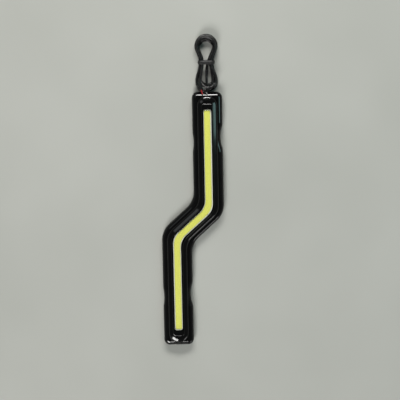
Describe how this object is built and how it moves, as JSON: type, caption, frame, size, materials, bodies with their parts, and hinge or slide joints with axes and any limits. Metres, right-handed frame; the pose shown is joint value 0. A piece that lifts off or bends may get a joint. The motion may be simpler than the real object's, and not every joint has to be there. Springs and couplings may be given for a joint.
{
  "type": "daytime running light",
  "caption": "Z-shaped daytime running light: a black two-tier body with one long yellow LED strip behind a clear lens, foam tape on its back and a lead folded into a tied hank.",
  "frame": {"origin": "middle of the lamp's footprint on the surface that it lies on, the lead and its grommet not counted", "axes": "+Z is the way the light goes, +Y runs along the lamp to the end with the lead, +X is across it, to the side of the upper run"},
  "size_m": [0.0542, 0.2709, 0.0136],
  "materials": {
    "black_gloss": "glossy black moulded plastic",
    "black_satin": "satin black moulded plastic",
    "clear_lens": "clear moulded acrylic, polished",
    "white_dam": "white reflective silicone",
    "phosphor": "yellow phosphor in silicone, soft sheen",
    "white_board": "white solder mask on an aluminium core",
    "chip": "bare LED chip",
    "thermal_pad": "grey silicone pad",
    "aluminium": "plain rolled aluminium",
    "silicone": "translucent grey silicone",
    "screw_steel": "zinc-plated steel",
    "foam_tape": "dark grey acrylic foam",
    "release_film": "red release film",
    "circuit_board": "green solder mask",
    "black_epoxy": "black moulding compound",
    "ceramic": "tan ceramic",
    "black_rubber": "black rubber",
    "black_cable": "black PVC jacket, half gloss",
    "tie": "black plastic-coated wire band",
    "red_wire": "red PVC insulation",
    "tinned_copper": "tinned copper strands"
  },
  "bodies": {
    "root": {"front_cover": "black_gloss", "rear_tray": "black_satin", "lens": "clear_lens", "dam": "white_dam", "phosphor": "phosphor", "led_board": "white_board", "led_chips": "chip", "thermal_pad": "thermal_pad", "heat_spreader": "aluminium", "seal": "silicone", "screws": "screw_steel", "mounting_tape": "foam_tape", "tape_liner": "release_film", "driver_board": "circuit_board", "regulator": "black_epoxy", "diode": "black_epoxy", "capacitor": "ceramic", "resistors": "black_epoxy", "grommet": "black_rubber", "cable_tube": "black_cable", "cable_hank": "black_cable", "hank_tie": "tie", "red_core": "red_wire", "black_core": "black_cable", "red_jumper": "red_wire", "black_jumper": "black_cable", "red_end": "red_wire", "black_end": "black_cable", "tinned_tips": "tinned_copper"}
  },
  "joints": []
}
